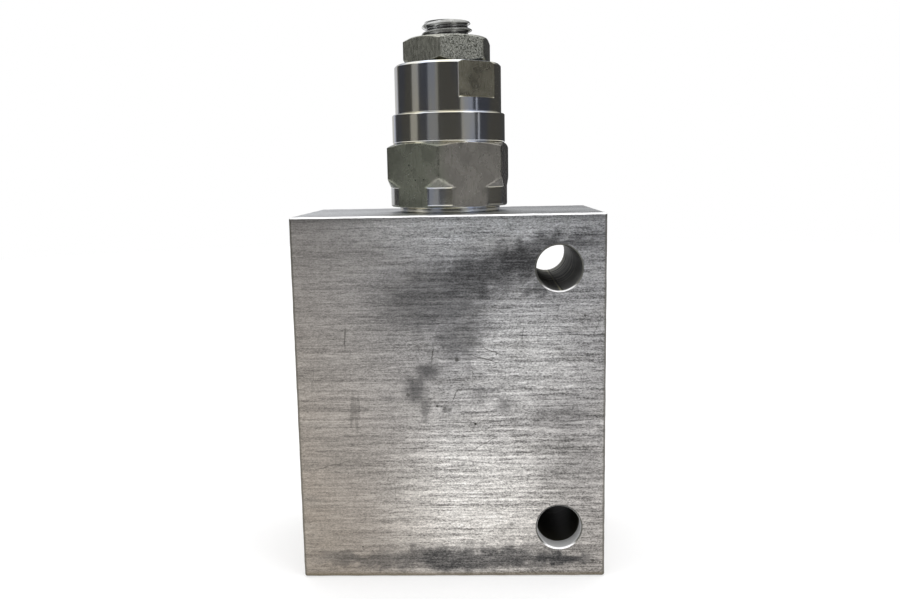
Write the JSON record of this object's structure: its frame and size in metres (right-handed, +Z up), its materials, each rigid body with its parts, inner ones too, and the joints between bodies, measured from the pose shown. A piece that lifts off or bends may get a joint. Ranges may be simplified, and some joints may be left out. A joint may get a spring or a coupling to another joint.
{
  "type": "hydraulic cartridge valve in a drilled block",
  "caption": "Aluminium valve block with side ports and an adjustable screw-in counterbalance cartridge under a lock nut.",
  "frame": {"origin": "centre of the block's bottom face", "axes": "+Z up along the cartridge, +X towards the face with the valve port, -Y out of the face seen from the front"},
  "size_m": [0.07, 0.042, 0.1279],
  "materials": {
    "block_aluminium": "brushed and handled",
    "zinc_plated_steel": "zinc plated, satin",
    "turned_plated_steel": "zinc plated, bright turned",
    "nut_plated_steel": "zinc plated, satin",
    "screw_plated_steel": "zinc plated, bright",
    "plain_steel": "ground",
    "spring_steel": "oiled",
    "seal_rubber": "smooth",
    "backup_plastic": "matte"
  },
  "bodies": {
    "valve_body": {"valve_block": "block_aluminium", "pilot_orifice": "plain_steel", "cartridge_body": "zinc_plated_steel", "body_o_ring": "seal_rubber", "upper_o_ring": "seal_rubber", "upper_backup_rings": "backup_plastic", "nose_o_ring": "seal_rubber", "nose_backup_rings": "backup_plastic", "stem_o_ring": "seal_rubber", "stem_backup_ring": "backup_plastic", "check_spring": "spring_steel", "check_spring_washer": "plain_steel", "retaining_ring": "spring_steel", "main_spring": "spring_steel", "spring_cap": "turned_plated_steel", "cap_o_ring": "seal_rubber"},
    "spring_seat": {"upper_spring_seat": "plain_steel", "seat_o_ring": "seal_rubber"},
    "screw": {"adjusting_screw": "screw_plated_steel"},
    "nut": {"lock_nut": "nut_plated_steel"},
    "relief_piston": {"piston": "plain_steel", "piston_o_ring": "seal_rubber", "piston_backup_ring": "backup_plastic", "lower_spring_guide": "plain_steel"},
    "check": {"check_sleeve": "plain_steel"}
  },
  "joints": [
    {"name": "seat_travel", "type": "slide", "parent": "valve_body", "child": "spring_seat", "axis": [0, 0, 1], "range_m": [-0.0036, 0.0054], "deforming": ["main_spring"]},
    {"name": "screw_turn", "type": "hinge", "parent": "spring_seat", "child": "screw", "pos_m": [0, 0, 0.12], "axis": [0, 0, 1], "range_deg": [-720, 1080]},
    {"name": "nut_turn", "type": "hinge", "parent": "valve_body", "child": "nut", "pos_m": [0, 0, 0.121], "axis": [0, 0, 1], "range_deg": [0, 90]},
    {"name": "piston_lift", "type": "slide", "parent": "valve_body", "child": "relief_piston", "axis": [0, 0, 1], "range_m": [0, 0.0025], "stiffness_N_per_m": 20000, "springref_m": -0.001},
    {"name": "check_opening", "type": "slide", "parent": "valve_body", "child": "check", "axis": [0, 0, -1], "range_m": [0, 0.0018], "stiffness_N_per_m": 300, "springref_m": -0.001, "deforming": ["check_spring"]}
  ],
  "couplings": [
    {"joint": "seat_travel", "follows": "screw_turn", "m_per_rad": 0.00027852}
  ]
}
